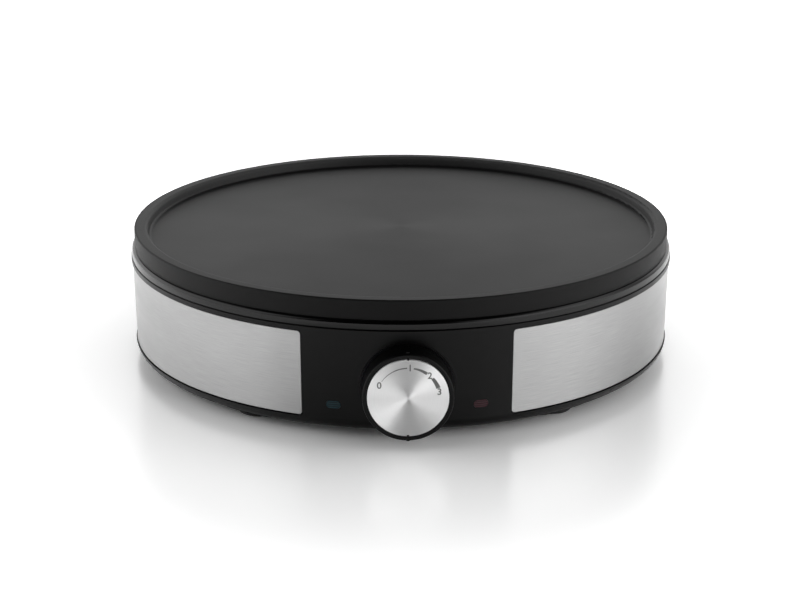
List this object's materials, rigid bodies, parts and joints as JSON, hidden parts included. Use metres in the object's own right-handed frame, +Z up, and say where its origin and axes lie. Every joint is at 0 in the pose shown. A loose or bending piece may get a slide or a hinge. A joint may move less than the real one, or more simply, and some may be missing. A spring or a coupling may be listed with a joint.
{
  "type": "electric crepe maker",
  "caption": "Round countertop crepe maker: raised-rim cast baking plate on a slim black housing with brushed-steel side panels, turning thermostat knob and pilot lamps.",
  "frame": {"origin": "on the vertical axis of the round body, at the plane the four feet rest on", "axes": "+Z up, -Y towards the thermostat knob at the front, +X to the right of someone who faces the knob"},
  "size_m": [0.3044, 0.3197, 0.073],
  "materials": {
    "plate_coating": "die-cast aluminium with a matt black non-stick coating",
    "element_steel": "stainless sheath, heat-darkened",
    "plated_steel": "zinc-plated",
    "aluminised_sheet": "aluminised sheet",
    "fuse_case": "satin",
    "brass_parts": "satin",
    "gloss_black": "gloss, heat-resistant moulding",
    "housing_black": "satin black moulding",
    "panel_steel": "brushed along the length",
    "cover_black": "matt black moulding",
    "foot_rubber": "matt",
    "white_ceramic": "unglazed steatite",
    "bimetal": "rolled strip",
    "knob_black": "satin black moulding",
    "disc_aluminium": "spun in fine circles",
    "red_lens": "tinted clear moulding, unlit",
    "green_lens": "tinted clear moulding, unlit",
    "lamp_glass": "clear",
    "holder_white": "matt"
  },
  "bodies": {
    "body": {"baking_plate": "plate_coating", "heating_element": "element_steel", "element_terminals": "plated_steel", "heat_shield": "aluminised_sheet", "shield_screws": "plated_steel", "thermal_fuse": "fuse_case", "fuse_clip": "aluminised_sheet", "fuse_clip_screw": "plated_steel", "earth_tag": "brass_parts", "earth_screw": "plated_steel", "collar_ring": "gloss_black", "housing": "housing_black", "left_panel": "panel_steel", "right_panel": "panel_steel", "base_cover": "cover_black", "base_screws": "plated_steel", "plate_sleeves": "plated_steel", "plate_screws": "plated_steel", "foot_front_left": "foot_rubber", "foot_front_right": "foot_rubber", "foot_back_left": "foot_rubber", "foot_back_right": "foot_rubber", "thermostat_bracket": "aluminised_sheet", "bracket_screws": "plated_steel", "ceramic_spacers": "white_ceramic", "switch_spring": "brass_parts", "contact_spring": "brass_parts", "bimetal_strip": "bimetal", "push_pin": "white_ceramic", "stack_plate": "plated_steel", "stack_rivets": "plated_steel", "spindle_bushing": "brass_parts", "bushing_nut": "brass_parts", "power_lamp_lens": "red_lens", "ready_lamp_lens": "green_lens", "power_lamp": "lamp_glass", "ready_lamp": "lamp_glass", "power_lamp_holder": "holder_white", "ready_lamp_holder": "holder_white", "cord_gland": "cover_black", "cord_clamp": "cover_black", "clamp_screws": "plated_steel", "terminal_block": "holder_white", "terminal_screws": "brass_parts", "block_screws": "plated_steel"},
    "control_knob": {"knob": "knob_black", "knob_disc": "disc_aluminium", "knob_clip": "plated_steel", "control_spindle": "plated_steel"}
  },
  "joints": [
    {"name": "thermostat_knob_turn", "type": "hinge", "parent": "body", "child": "control_knob", "pos_m": [0, -0.15, 0.02785], "axis": [0, -1, 0], "range_deg": [-65, 80]}
  ]
}
